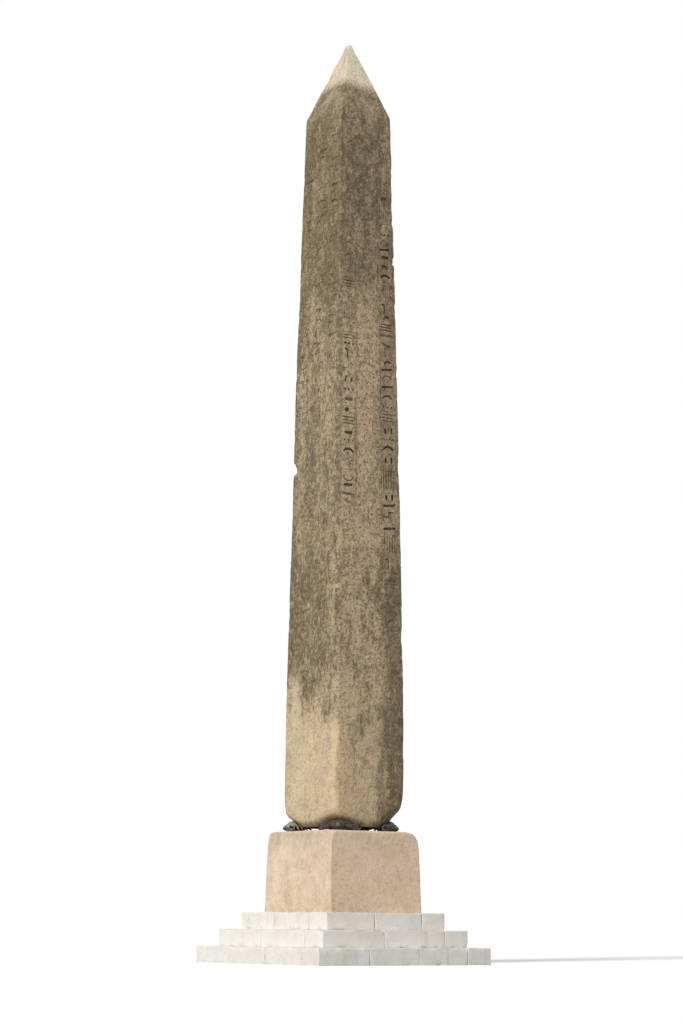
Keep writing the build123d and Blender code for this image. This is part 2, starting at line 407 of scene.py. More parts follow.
def face_grid(k, rows, step, width, radius):
    """Points spread over face k, each as (arc length, height), and the lines of them along its four borders."""
    rnd = random.Random(50 + k)
    points, lines = [], []
    for j, h in enumerate(rows):
        hh = np.array([h])
        row, flats = [], []
        for side, corner in ((-1, k), (1, (k + 1) % 4)):
            turn = float(radius(corner, hh)[0]) * math.pi / 4
            flat = float(half_length(k, side, hh, width, radius)[0]) - turn
            n = max(3, math.ceil(turn / step))
            row += [side * (flat + turn * i / n) for i in range(n + 1)]
            flats.append(side * flat)
        low, high = flats
        n = max(2, round((high - low) / step))
        row += [low + (high - low) * i / n for i in range(1, n)]
        row.sort()
        lines.append(list(range(len(points), len(points) + len(row))))
        for x in row:
            if 0 < j < len(rows) - 1 and low + step < x < high - step:
                points.append((x + rnd.uniform(-0.2, 0.2) * step, h + rnd.uniform(-0.2, 0.2) * step))
            else:
                points.append((x, h))
    return points, [[line[0] for line in lines], [line[-1] for line in lines], lines[0], lines[-1]]


def with_marks(points, edges, border, strokes):
    """The grid cleared near the marks' outlines, with both outlines of each mark added."""
    _, near = carve_depth(strokes, *np.array(points).T)
    fixed = {i for edge in edges for i in edge}
    kept = [i for i in range(len(points)) if i in fixed or near[i] > CLEAR_OF_MARKS]
    place = {old: new for new, old in enumerate(kept)}
    points = [points[i] for i in kept]
    edges = [(place[i], place[j]) for i, j in edges]
    border = [[place[i] for i in line] for line in border]
    for line, half, _ in strokes:
        for reach in (half, half - bevel(half)):
            loop = stroke_outline(line, reach)
            start = len(points)
            points += [(float(x), float(z)) for x, z in loop]
            edges += [(start + i, start + (i + 1) % len(loop)) for i in range(len(loop))]
    return points, edges, border


def face_mesh(k, rows, step, width, radius, lift, strokes, keep, shape, seed, amount):
    """Vertices, triangles, carving and the four border lines of one face, from one arris to the next."""
    points, border = face_grid(k, rows, step, width, radius)
    edges = [edge for line in border for edge in zip(line, line[1:])]
    if strokes:
        points, edges, border = with_marks(points, edges, border, strokes)
    result = delaunay_2d_cdt([Vector(p) for p in points], edges, [], 0, 1e-6, True)
    flat = np.array([(p[0], p[1]) for p in result[0]])
    known = {old: new for new, olds in enumerate(result[3]) for old in olds}
    border = [[known[i] for i in line] for line in border]
    faces = np.array(enclosed([tuple(f) for f in result[2] if len(f) == 3], border))
    x, h = flat[:, 0], flat[:, 1]
    place, normal = on_outline(k, x, h, width, radius)
    cut = np.zeros(len(x))
    if strokes:
        depth, _ = carve_depth(strokes, x, h)
        cut = depth * keep(k, x, h, place)
    push = lift(place, h) - cut
    # Limited near an arris, where a deep push would fold the worn round over itself
    round_ = np.where(x < 0, radius(k, h), radius((k + 1) % 4, h))
    push = np.maximum(push, -0.5 * round_ - 0.35 * np.maximum(0, width(h) / 2 - round_ - np.abs(x)))
    out = lost_arrises(k, place + normal * push[:, None], width, radius, amount, seed)
    if shape is not None:
        out = shape(out)
    return out, faces, cut, border


def cap(vertices, faces, ids, z, flip, dish, rings=5):
    """Close a loop of boundary vertices with shrinking rings and a fan."""
    loop = ids
    for ring in range(1, rings):
        share = 1 - ring / rings
        new = []
        for i in ids:
            x, y, _ = vertices[i]
            wobble = dish * noise.noise(Vector((x * share * 2.3, y * share * 2.3, z)))
            vertices.append((x * share, y * share, z + wobble))
            new.append(len(vertices) - 1)
        for (a, b), (c, d) in zip(zip(loop, loop[1:] + loop[:1]), zip(new, new[1:] + new[:1])):
            faces.append((c, d, b, a) if flip else (a, b, d, c))
        loop = new
    vertices.append((0.0, 0.0, z))
    centre = len(vertices) - 1
    for a, b in zip(loop, loop[1:] + loop[:1]):
        faces.append((b, a, centre) if flip else (a, b, centre))


def make_object(name, vertices, faces, material, attributes=None, sharp=38.0):
    mesh = bpy.data.meshes.new(name)
    mesh.from_pydata([tuple(v) for v in vertices], [], [tuple(int(i) for i in f) for f in faces])
    mesh.validate()
    mesh.update()
    for key, values in (attributes or {}).items():
        layer = mesh.attributes.new(key, "FLOAT", "POINT")
        layer.data.foreach_set("value", [float(v) for v in values] + [0.0] * (len(mesh.vertices) - len(values)))
    mesh.polygons.foreach_set("use_smooth", [True] * len(mesh.polygons))
    mesh.set_sharp_from_angle(angle=math.radians(sharp))
    obj = placed(name, mesh)
    mesh.materials.append(material)
    return obj


def worn_block(name, base_z, rows, step, width, radius, lift, material, seed, amount, strokes_for=None,
               keep=None, shape=None):
    """A whole worn stone from its four faces, joined along the arrises and closed above and below."""
    vertices, faces, cuts = [], [], []
    foot, head = [], []
    for k in range(4):
        strokes = strokes_for(k) if strokes_for else ()
        out, tris, cut, (start, end, low, high) = face_mesh(k, rows, step, width, radius, lift, strokes, keep, shape,
                                                            seed, amount)
        place = {}
        if k > 0:
            place.update(zip(start, shared))
        if k == 3:
            place.update(zip(end, first))
        for i in np.unique(tris):
            if i not in place:
                vertices.append(tuple(float(v) for v in out[i]))
                cuts.append(float(cut[i]))
                place[i] = len(vertices) - 1
        if k == 0:
            first = [place[i] for i in start]
        shared = [place[i] for i in end]
        foot += [place[i] for i in low[:-1]]
        head += [place[i] for i in high[:-1]]
        faces += [tuple(place[i] for i in f) for f in tris]
    cap(vertices, faces, foot, rows[0], True, 0.01)
    cap(vertices, faces, head, rows[-1], False, 0.012)
    vertices = [(x, y, z + base_z) for x, y, z in vertices]
    return make_object(name, vertices, faces, material, {"carve": cuts})


# Materials


def new_node(tree, kind, **inputs):
    """A new shader node with some inputs set; an underscore in a name stands for a space."""
    node = tree.nodes.new("ShaderNode" + kind)
    for name, value in inputs.items():
        node.inputs[name.replace("_", " ")].default_value = value
    return node


def new_material(name, **inputs):
    material = bpy.data.materials.new(name)
    material.use_nodes = True
    tree = material.node_tree
    tree.nodes.clear()
    output = new_node(tree, "OutputMaterial")
    shader = new_node(tree, "BsdfPrincipled", **inputs)
    tree.links.new(shader.outputs["BSDF"], output.inputs["Surface"])
    return material, tree, shader


class Paint:
    """A material, the colour laid on it so far and short ways to add its nodes."""

    def __init__(self, name, roughness, specular=0.5):
        self.material, self.tree, self.shader = new_material(name, Roughness=roughness, Specular_IOR_Level=specular)
        self.place = self.node("TexCoord").outputs["Object"]
        parts = self.node("SeparateXYZ")
        self.link(self.place, parts.inputs["Vector"])
        self.x, self.y, self.z = parts.outputs
        self.colour = None

    def node(self, kind, **inputs):
        return new_node(self.tree, kind, **inputs)

    def link(self, a, b):
        self.tree.links.new(a, b)

    def noise(self, scale, detail, rough, upright=1.0, distortion=0.0):
        """Noise, drawn out along the height where upright is less than 1."""
        place = self.place
        if upright < 1:
            mapping = self.node("Mapping", Scale=(1, 1, upright))
            self.link(place, mapping.inputs["Vector"])
            place = mapping.outputs["Vector"]
        node = self.node("TexNoise", Scale=scale, Detail=detail, Roughness=rough, Distortion=distortion)
        self.link(place, node.inputs["Vector"])
        return node.outputs["Fac"]

    def voronoi(self, scale):
        node = self.node("TexVoronoi", Scale=scale)
        self.link(self.place, node.inputs["Vector"])
        return node.outputs["Distance"]

    def ramp(self, value, stops):
        node = self.node("ValToRGB")
        elements = node.color_ramp.elements
        elements.remove(elements[-1])
        elements[0].position = stops[0][0]
        for position, _ in stops[1:]:
            elements.new(position)
        for element, (_, colour) in zip(elements, stops):
            element.color = (*colour, 1)
        self.link(value, node.inputs["Fac"])
        return node.outputs["Color"]

    def window(self, value, low, high, out_low=0.0, out_high=1.0):
        node = self.node("MapRange", From_Min=low, From_Max=high, To_Min=out_low, To_Max=out_high)
        node.interpolation_type = "SMOOTHSTEP"
        self.link(value, node.inputs["Value"])
        return node.outputs["Result"]

    def math(self, operation, a, b=None):
        node = self.node("Math")
        node.operation = operation
        for socket, value in zip(node.inputs, (a, b)):
            if value is None:
                continue
            if isinstance(value, (int, float)):
                socket.default_value = value
            else:
                self.link(value, socket)
        return node.outputs["Value"]

    def coat(self, colour, *shares):
        """Lay a colour over what is there, by the product of the shares."""
        node = self.node("Mix")
        node.data_type = "RGBA"
        under, over = [socket for socket in node.inputs if socket.type == "RGBA"]
        self.link(self.product(*shares), node.inputs["Factor"])
        self.link(self.colour, under)
        if isinstance(colour, tuple):
            over.default_value = (*colour, 1)
        else:
            self.link(colour, over)
        self.colour = [socket for socket in node.outputs if socket.type == "RGBA"][0]

    def product(self, *values):
        out = values[0]
        for value in values[1:]:
            out = self.math("MULTIPLY", out, value)
        return out

    def sum(self, *values):
        out = values[0]
        for value in values[1:]:
            out = self.math("ADD", out, value)
        return out

    def facing(self, direction):
        """How much the surface looks along a fixed direction of the object."""
        node = self.node("VectorMath")
        node.operation = "DOT_PRODUCT"
        node.inputs[1].default_value = direction
        self.link(self.node("NewGeometry").outputs["Normal"], node.inputs[0])
        return node.outputs["Value"]

    def attribute(self, name):
        node = self.node("Attribute")
        node.attribute_name = name
        return node.outputs["Fac"]

    def finished(self, height, strength, distance):
        """The material, with its colour and a relief joined to the shader."""
        node = self.node("Bump", Strength=strength, Distance=distance)
        self.link(height, node.inputs["Height"])
        self.link(node.outputs["Normal"], self.shader.inputs["Normal"])
        self.link(self.colour, self.shader.inputs["Base Color"])
        return self.material


def shaft_granite():
    n = Paint("weathered_shaft_granite", 0.9, 0.2)
    to_left, to_right = n.facing((-1, 0, 0)), n.facing((0, -1, 0))
    left = n.window(to_left, 0.25, 0.8)
    right = n.window(to_right, 0.25, 0.8)
    width = n.math("SUBTRACT", 2.50, n.math("MULTIPLY", n.z, 0.0375))
    across = n.math("DIVIDE", n.x, width)
    back = n.math("DIVIDE", n.y, width)
    tip = n.window(n.z, 23.35, 23.75)
    fringe = n.product(n.window(n.z, 22.2, 23.5), n.window(n.noise(3.0, 4.0, 0.6), 0.40, 0.58))
    # Darker upper shaft: painted shade of the trees in front
    upper_shade = n.product(n.window(n.z, 16.6, 18.4), n.math("SUBTRACT", 1.0, tip))
    ragged = n.sum(n.z, n.product(n.noise(1.3, 5.0, 0.66, upright=0.45), 4.2), -2.1)
    foot = n.window(ragged, 7.7, 5.9)
    middle = n.product(n.window(ragged, 5.9, 7.7), n.window(n.z, 18.4, 16.6))
    band = n.product(n.window(n.z, 11.2, 9.6), n.window(ragged, 6.4, 7.8))

    # Clean stone: a warm tan with darker and paler mottling
    clean = n.product(foot, left)
    shaded = n.product(foot, right, n.window(across, 0.25, 0.0))
    worn = n.math("SUBTRACT", 1.0, n.sum(n.product(clean, 0.65), n.product(shaded, 0.45), n.product(tip, 0.40)))
    n.colour = n.ramp(n.noise(1.4, 6.0, 0.68), [(0.28, (0.430, 0.315, 0.185)), (0.46, (0.530, 0.400, 0.245)),
                                                (0.58, (0.600, 0.465, 0.295)), (0.74, (0.680, 0.540, 0.360))])
    n.coat((0.820, 0.655, 0.450), clean, 0.75)
    patches = n.noise(1.9, 4.0, 0.6)
    n.coat((0.910, 0.725, 0.470), clean, n.window(patches, 0.50, 0.62), 0.60)
    n.coat((0.610, 0.500, 0.370), clean, n.window(patches, 0.48, 0.38), 0.55)
    edge = n.window(across, 0.10, 0.24)
    centre = n.product(right, middle, n.math("SUBTRACT", 1.0, edge))
    n.coat((0.780, 0.575, 0.370), centre, 0.65)
    n.coat((0.790, 0.600, 0.360), foot, right, n.window(across, 0.28, -0.05), 0.70)
    mottle = n.noise(9.0, 6.0, 0.76)
    n.coat((0.250, 0.190, 0.112), n.window(mottle, 0.47, 0.60, 0.0, 0.66), worn)
    n.coat((0.800, 0.660, 0.460), n.window(mottle, 0.46, 0.36, 0.0, 0.48))

    # Grime and lichen in mottled upright streaks, darker and paler tones by height and side, and painted shade of the
    # trees and along the front arris
    # A strip along the front arris from 11 to 18 m up: painted shade, as on a worn facet of the arris
    arris_shade = n.product(n.window(n.product(to_left, to_right), 0.04, 0.16), n.window(to_left, -0.05, 0.05),
                      n.window(n.z, 11.0, 12.0), n.window(n.z, 18.0, 17.0))
    column = n.product(right, n.window(across, 0.195, 0.215), n.window(across, 0.478, 0.458),
                       n.window(n.z, 11.2, 13.2), n.window(n.z, 18.4, 15.8))
    rim = n.product(right, n.window(across, 0.20, 0.34), n.window(n.z, 10.6, 9.4))
    amount = n.sum(
        n.product(n.noise(1.1, 5.0, 0.62, upright=0.30), 0.40),
        n.product(n.noise(5.0, 6.0, 0.72, upright=0.50), 0.60), -0.085,
        n.product(upper_shade, 0.125), n.product(upper_shade, left, 0.030),
        n.product(left, middle, 0.085), n.product(left, middle, n.window(back, 0.30, 0.48), 0.050),
        n.product(right, middle, edge, 0.030), n.product(column, 0.030), n.product(arris_shade, 0.060),
        n.product(band, left, n.window(back, -0.5, 0.45), 0.115), n.product(band, right, 0.075), n.product(rim, 0.060),
        n.product(foot, right, n.window(across, 0.04, 0.26), 0.150))
    # Grime, laid by an amount that also carries the painted shade of the trees and along the front arris
    grime_and_shade = n.ramp(n.noise(3.1, 4.0, 0.6), [(0.36, (0.105, 0.082, 0.048)), (0.52, (0.170, 0.133, 0.076)),
                                            (0.68, (0.205, 0.180, 0.096))])
    n.coat(grime_and_shade, n.window(amount, 0.42, 0.60, 0.0, 0.84))
    # Painted shade of the trees over the upper shaft
    n.coat((0.150, 0.125, 0.074), upper_shade, 0.22)
    # The left face darker over the middle of the shaft
    n.coat((0.170, 0.145, 0.088), left, middle, 0.12)
    n.coat((0.235, 0.190, 0.132), column, 0.38)
    n.coat((0.205, 0.155, 0.100), rim, 0.22)
    # Painted shade along the front arris
    n.coat((0.235, 0.185, 0.136), arris_shade, 0.72)
    blot = n.noise(10.0, 6.0, 0.76, upright=0.70)
    pitted = n.sum(n.product(left, middle, 0.20), 0.46)
    n.coat((0.092, 0.073, 0.043), n.window(blot, 0.53, 0.61), worn, pitted)
    n.coat((0.620, 0.505, 0.325), n.window(blot, 0.47, 0.39), worn, pitted)
    n.coat((0.700, 0.585, 0.405), fringe, n.sum(n.product(left, 0.30), 0.20))
    n.coat((0.850, 0.735, 0.555), tip, 0.90)
    # The tip's right face lighter still: painted light, as if lit like the left face
    n.coat((0.950, 0.860, 0.660), tip, right, 0.85)
    n.coat((0.520, 0.410, 0.270), tip, n.window(n.noise(6.0, 5.0, 0.66), 0.50, 0.66), 0.45)

    # Rain streaks, crystals of the granite, painted shade with some dirt in the marks, and painted shade on the foot
    # behind the crabs
    streak = n.noise(3.4, 5.0, 0.66, upright=0.07)
    n.coat((0.150, 0.118, 0.070), n.window(streak, 0.52, 0.68, 0.0, 0.42), worn)
    crystal = n.window(n.noise(18.0, 4.0, 0.76), 0.53, 0.60, 0.0, 0.66)
    n.coat((0.105, 0.080, 0.048), crystal, worn)
    pale = n.window(n.noise(20.0, 4.0, 0.74, distortion=0.4), 0.53, 0.62, 0.0, 0.52)
    n.coat((0.800, 0.655, 0.475), pale, n.window(amount, 0.62, 0.44, 0.30, 1.0))
    n.coat((0.540, 0.310, 0.190), n.window(n.noise(47.0, 2.0, 0.7), 0.57, 0.68, 0.0, 0.30))
    # Darker in the carved marks: painted shade, with some dirt
    n.coat((0.085, 0.066, 0.040), n.window(n.attribute("carve"), 0.004, 0.038, 0.0, 0.68))
    # Painted shade on the stone's foot, under it and behind the crabs
    under_stone_shade = n.window(n.sum(n.z, n.product(n.noise(5.0, 4.0, 0.6), 0.30)), 3.86, 3.64)
    n.coat((0.085, 0.066, 0.042), under_stone_shade, 0.70)
    relief = n.sum(n.product(n.noise(11.0, 6.0, 0.68), 0.7), n.product(n.noise(38.0, 4.0, 0.6), 0.3))
    return n.finished(relief, 0.8, 0.05)


def pedestal_granite():
    n = Paint("rough_pedestal_granite", 0.88, 0.2)
    n.colour = n.ramp(n.noise(1.7, 6.0, 0.66), [(0.28, (0.680, 0.520, 0.370)), (0.45, (0.800, 0.635, 0.475)),
                                                (0.60, (0.870, 0.710, 0.550)), (0.76, (0.920, 0.790, 0.645))])
    left = n.window(n.facing((-1, 0, 0)), 0.25, 0.8)
    right = n.window(n.facing((0, -1, 0)), 0.25, 0.8)
    n.coat((0.900, 0.690, 0.470), right, 0.40)
    high = n.product(left, n.window(n.sum(n.z, n.product(n.noise(2.2, 4.0, 0.6), 0.5)), 3.05, 3.55))
    n.coat((0.600, 0.460, 0.330), high, 0.45)
    stain = n.noise(1.5, 5.0, 0.64, upright=0.55)
    n.coat((0.400, 0.290, 0.185), n.window(stain, 0.54, 0.72, 0.0, 0.34))
    low = n.product(n.window(n.z, 1.72, 1.34), n.window(n.noise(4.0, 3.0, 0.6), 0.40, 0.62))
    n.coat((0.300, 0.225, 0.140), low, 0.30)
    mottle = n.noise(9.0, 5.0, 0.68)
    n.coat((0.450, 0.325, 0.215), n.window(mottle, 0.50, 0.66, 0.0, 0.30))
    n.coat((0.900, 0.780, 0.640), n.window(mottle, 0.46, 0.34, 0.0, 0.42))
    n.coat((0.200, 0.145, 0.095), n.window(n.noise(24.0, 3.0, 0.72), 0.55, 0.66, 0.0, 0.34))
    n.coat((0.640, 0.360, 0.250), n.window(n.noise(43.0, 2.0, 0.7), 0.57, 0.68, 0.0, 0.35))
    relief = n.sum(n.product(n.noise(8.0, 6.0, 0.66), 0.7), n.product(n.noise(34.0, 4.0, 0.6), 0.3))
    return n.finished(relief, 0.6, 0.035)


def step_limestone():
    n = Paint("dressed_limestone", 0.78, 0.25)
    n.colour = n.ramp(n.noise(1.6, 5.0, 0.6), [(0.30, (0.800, 0.780, 0.725)), (0.50, (0.880, 0.870, 0.830)),
                                               (0.72, (0.930, 0.925, 0.900))])
    stain = n.noise(2.4, 5.0, 0.64, upright=0.22)
    n.coat((0.480, 0.450, 0.380), n.window(stain, 0.56, 0.74, 0.0, 0.36))
    treads = n.window(n.facing((0, 0, 1)), 0.5, 0.9)
    moss = n.product(treads, n.window(n.noise(3.3, 5.0, 0.66), 0.50, 0.66))
    n.coat((0.330, 0.320, 0.230), moss, 0.40)
    n.coat((0.520, 0.490, 0.420), n.window(n.noise(13.0, 5.0, 0.66), 0.54, 0.68, 0.0, 0.28))
    n.coat((0.420, 0.390, 0.330), n.window(n.noise(42.0, 3.0, 0.66), 0.56, 0.68, 0.0, 0.25))
    return n.finished(n.noise(20.0, 6.0, 0.66), 0.4, 0.015)


def patinated_bronze():
    n = Paint("patinated_bronze", 0.5)
    n.shader.inputs["Metallic"].default_value = 0.5
    n.colour = n.ramp(n.noise(6.0, 5.0, 0.64), [(0.34, (0.020, 0.017, 0.013)), (0.50, (0.050, 0.045, 0.035)),
                                                (0.64, (0.100, 0.105, 0.088))])
    upward = n.window(n.facing((0, 0, 1)), 0.2, 0.95)
    patina = n.product(upward, n.window(n.noise(10.0, 4.0, 0.64), 0.38, 0.60))
    n.coat((0.185, 0.215, 0.190), patina, 0.45)
    rubbed = n.window(n.noise(16.0, 3.0, 0.6), 0.58, 0.70)
    n.coat((0.250, 0.180, 0.100), rubbed, 0.40)
    west = n.window(n.x, -0.3, -0.6)
    # The front crab darker brown: painted shade under the stone
    front = n.product(west, n.window(n.y, -0.3, -0.6))
    n.coat((0.052, 0.035, 0.025), front, 0.50)
    # The left crab paler grey on faces turned up and towards the light: painted highlight
    pale = n.product(west, n.window(n.y, 0.3, 0.6), n.window(n.facing((-0.45, -0.45, 0.77)), 0.40, 1.0))
    n.coat((0.420, 0.420, 0.360), pale, 0.75)
    n.link(n.window(n.noise(18.0, 3.0, 0.6), 0.3, 0.7, 0.42, 0.75), n.shader.inputs["Roughness"])
    return n.finished(n.noise(44.0, 4.0, 0.62), 0.4, 0.006)


def core_rubble():
    n = Paint("core_rubble", 0.95)
    rubble = n.voronoi(5.0)
    n.colour = n.ramp(rubble, [(0.10, (0.470, 0.430, 0.370)), (0.40, (0.340, 0.310, 0.260)),
                               (0.62, (0.200, 0.180, 0.150))])
    n.coat((0.560, 0.530, 0.470), n.window(n.noise(14.0, 5.0, 0.66), 0.45, 0.65, 0.0, 0.5))
    return n.finished(rubble, 0.5, 0.02)


SHAFT = shaft_granite()
PEDESTAL = pedestal_granite()
LIMESTONE = step_limestone()
BRONZE = patinated_bronze()
RUBBLE = core_rubble()


# The stone


def stone_lift(place, h):
    """Relief of the weathered faces, with shallow hollows where the skin has scaled off."""
    fine = fbm(place, 0.13, 2, seed=4)
    scaled = smooth((fbm(place, 0.62, 3, seed=9) - 0.12) / 0.10)
    waves = 0.009 * fbm(place, 1.3, 2, seed=1) + 0.006 * fbm(place, 0.32, 2, seed=2)
    return waves + 0.005 * fine - 0.010 * scaled - 0.004


def rows_between(low, high, step):
    n = max(1, round((high - low) / step))
    return [low + (high - low) * i / n for i in range(n + 1)]


STONE_STEP = 0.064
stone_rows = rows_between(0.0, SHAFT_HEIGHT, STONE_STEP)
stone_rows += rows_between(SHAFT_HEIGHT, STONE_HEIGHT - TIP_ROUND, STONE_STEP)[1:] + [STONE_HEIGHT]

stone = worn_block("weathered_monolith", SHAFT_FOOT, stone_rows, STONE_STEP, stone_width, stone_radius, stone_lift,
                   SHAFT, seed=1.0, amount=0.055, strokes_for=face_marks, keep=carving_left, shape=flake_cut)
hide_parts("monolith")
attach(stone, "root")


# The pedestal


def pedestal_lift(place, h):
    return 0.012 * fbm(place, 0.9, 2, seed=5) + 0.009 * fbm(place, 0.22, 3, seed=6) - 0.012


PEDESTAL_STEP = 0.05
WORN_RIM, RIM_STEP = 1.90, 0.024
pedestal_rows = rows_between(0.0, WORN_RIM, PEDESTAL_STEP) + rows_between(WORN_RIM, PEDESTAL_HEIGHT, RIM_STEP)[1:]
pedestal = worn_block("worn_pedestal", STEP_TOP, pedestal_rows, PEDESTAL_STEP, pedestal_width, pedestal_radius,
                      pedestal_lift, PEDESTAL, seed=2.0, amount=0.06)
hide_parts("pedestal")
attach(pedestal, "root")


# The step blocks


BLOCK_ROUND = 0.016
BLOCK_STEP = 0.075
CHIP_REACH, CHIP_DEPTH = 0.075, 0.035


def places_along(low, high):
    """Places from one edge to the other, closer together near both."""
    *insets, last = 0.0, 0.008, 0.020, 0.045, 0.085
    inner = rows_between(low + last, high - last, BLOCK_STEP)
    return [low + v for v in insets] + inner + [high - v for v in reversed(insets)]


def dressed_block(node, seed):
    """One step block with eased, chipped edges and a slightly uneven face, inside its solid's box."""
    low, high = (np.array(v, dtype=float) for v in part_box(node))
    axes = [places_along(low[a], high[a]) for a in range(3)]
    sizes = [len(a) for a in axes]
    index, points, faces = {}, [], []

    def vertex(ijk):
        if ijk not in index:
            index[ijk] = len(points)
            points.append([axes[a][ijk[a]] for a in range(3)])
        return index[ijk]

    for axis in range(3):
        u, v = [a for a in range(3) if a != axis]
        for end in (0, sizes[axis] - 1):
            for i in range(sizes[u] - 1):
                for j in range(sizes[v] - 1):
                    quad = []
                    for du, dv in ((0, 0), (1, 0), (1, 1), (0, 1)):
                        ijk = [0, 0, 0]
                        ijk[axis], ijk[u], ijk[v] = end, i + du, j + dv
                        quad.append(vertex(tuple(ijk)))
                    outward = (end != 0) != (axis == 1)
                    faces.append(tuple(quad) if outward else tuple(quad[::-1]))
    p = np.array(points)
    core = np.clip(p, low + BLOCK_ROUND, high - BLOCK_ROUND)
    normal = p - core
    normal = normal / np.maximum(np.linalg.norm(normal, axis=1), 1e-9)[:, None]
    shift = p + seed * 3.7
    near_edges = np.sort(np.minimum(p - low, high - p), axis=1)[:, 1]
    edge = smooth(1 - near_edges / CHIP_REACH)
    chips = np.maximum(0, fbm(shift, 0.30, 3, seed=seed) - 0.10) * 0.16
    chips += np.maximum(0, fbm(shift, 0.10, 2, seed=8)) * 0.016
    sink = 0.003 + 0.003 * fbm(shift, 0.45, 2, seed=5) + 0.0015 * fbm(shift, 0.09, 2, seed=6)
    sink += edge * np.minimum(chips, CHIP_DEPTH)
    out = core + normal * (BLOCK_ROUND - np.maximum(sink, 0.0))[:, None]
    out[:, 2] = np.where(p[:, 2] <= low[2] + 1e-6, low[2], out[:, 2])
    return out, faces


block_names = sorted(name for name in frame["nodes"] if "_step_block_" in name)
for number, name in enumerate(block_names):
    out, faces = dressed_block(name, 1.0 + number)
    piece = make_object("dressed_" + name, out, faces, LIMESTONE, sharp=45.0)
    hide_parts(name)
    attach(piece, "root")


# The bronze crabs

# Each as (turn in degrees, reach along its diagonal, shift aside)
CRABS = {"crab_back": (45, 1.25, 0.0), "crab_left": (135, 1.25, 0.0), "crab_front": (225, 1.25, 0.09),
         "crab_right": (315, 1.13, 0.0)}
SHELL_LENGTH, SHELL_WIDTH, RIM = 0.54, 0.64, 0.088
SHELL_TOP = 0.2905
CLAW_SPAN = 1.11
LEG_SPAN = 0.92
SEAT_CLEARANCE = 0.004


def crab_extras():
    """What the casting has beyond the plain solid: teeth on the rim, knuckles, eyes, knees and claw teeth."""
    bm = bmesh.new()

    def ball(x, y, z, radius, stretch=(1, 1, 1)):
        size = Matrix.Diagonal((*stretch, 1))
        bmesh.ops.create_icosphere(bm, subdivisions=2, radius=radius, matrix=Matrix.Translation((x, y, z)) @ size)

    def spike(x, y, z, angle, rise, radius, length):
        turn = Matrix.Rotation(angle, 4, "Z") @ Matrix.Rotation(math.pi / 2 - rise, 4, "Y")
        middle = Matrix.Translation((0, 0, length / 2))
        bmesh.ops.create_cone(bm, cap_ends=True, segments=8, radius1=radius, radius2=radius * 0.15, depth=length,
                              matrix=Matrix.Translation((x, y, z)) @ turn @ middle)

    for side in (-1, 1):
        for tooth in range(6):
            angle = math.radians(24 + 13 * tooth)
            x = SHELL_LENGTH / 2 * math.cos(angle)
            y = SHELL_WIDTH / 2 * math.sin(angle) * (1 + 0.14 * math.cos(angle))
            spike(x * 0.94, side * y * 0.94, RIM + 0.014, side * angle, 0.25, 0.026, 0.052)
        ball(SHELL_LENGTH * 0.45, side * SHELL_WIDTH * 0.13, RIM + 0.078, 0.026)
        ball(SHELL_LENGTH * 0.44, side * SHELL_WIDTH * 0.40, 0.094, 0.066)
        ball(SHELL_LENGTH * 0.40, side * SHELL_WIDTH * 0.53, 0.091, 0.060)
        for pair in range(4):
            root = SHELL_LENGTH * (0.12 - 0.13 * pair)
            foot = SHELL_LENGTH * (-0.10 - 0.20 * pair)
            y = (SHELL_WIDTH + LEG_SPAN) / 4 - 0.016 * pair
            ball((root + foot) / 2, side * y, 0.134, 0.040, (1.0, 1.15, 0.9))
            ball(root * 0.6 + foot * 0.4, side * (y * 0.55 + 0.10), 0.118, 0.036, (1.0, 1.6, 0.9))
        for tooth in range(4):
            share = tooth / 3
            x = SHELL_LENGTH * (0.07 - 0.10 * share)
            y = CLAW_SPAN * (0.44 + 0.035 * share)
            ball(x, side * y, 0.066 + 0.004 * share, 0.012)
            ball(x, side * y, 0.114 - 0.004 * share, 0.012)
        ball(SHELL_LENGTH * 0.40, side * SHELL_WIDTH * 0.10, RIM * 0.70, 0.036, (1.0, 1.4, 0.8))
    mesh = bpy.data.meshes.new("crab_extras")
    bm.to_mesh(mesh)
    bm.free()
    return mesh


def crab_relief(local):
    """Furrows, swellings and a granular skin on the shell, in the crab's own frame."""
    x, y, z = local.T
    rise = 1.0 - (x / (SHELL_LENGTH / 2)) ** 2 - (y / (SHELL_WIDTH / 2)) ** 2
    inside = smooth(rise / 0.15) * smooth((z - RIM) / 0.03)
    furrow = np.exp(-((np.abs(y) - 0.085 - 0.030 * np.cos(x * 17.0)) / 0.012) ** 2)
    cross = np.exp(-((x - 0.015 - 0.9 * y ** 2) / 0.012) ** 2) * smooth((0.20 - np.abs(y)) / 0.05)
    ring = np.exp(-((np.hypot(x / SHELL_LENGTH, y / SHELL_WIDTH) - 0.41) / 0.018) ** 2)
    grain = np.maximum(0, fbm(local + 9.0, 0.030, 1, seed=21) - 0.10)
    lift = inside * (-0.013 * furrow - 0.011 * cross - 0.008 * ring + 0.012 * grain)
    pits = fbm(local + 5.0, 0.055, 2, seed=22)
    return lift + 0.0035 * fbm(local + 2.0, 0.11, 2, seed=20) - 0.0030 * np.maximum(0, pits - 0.15)


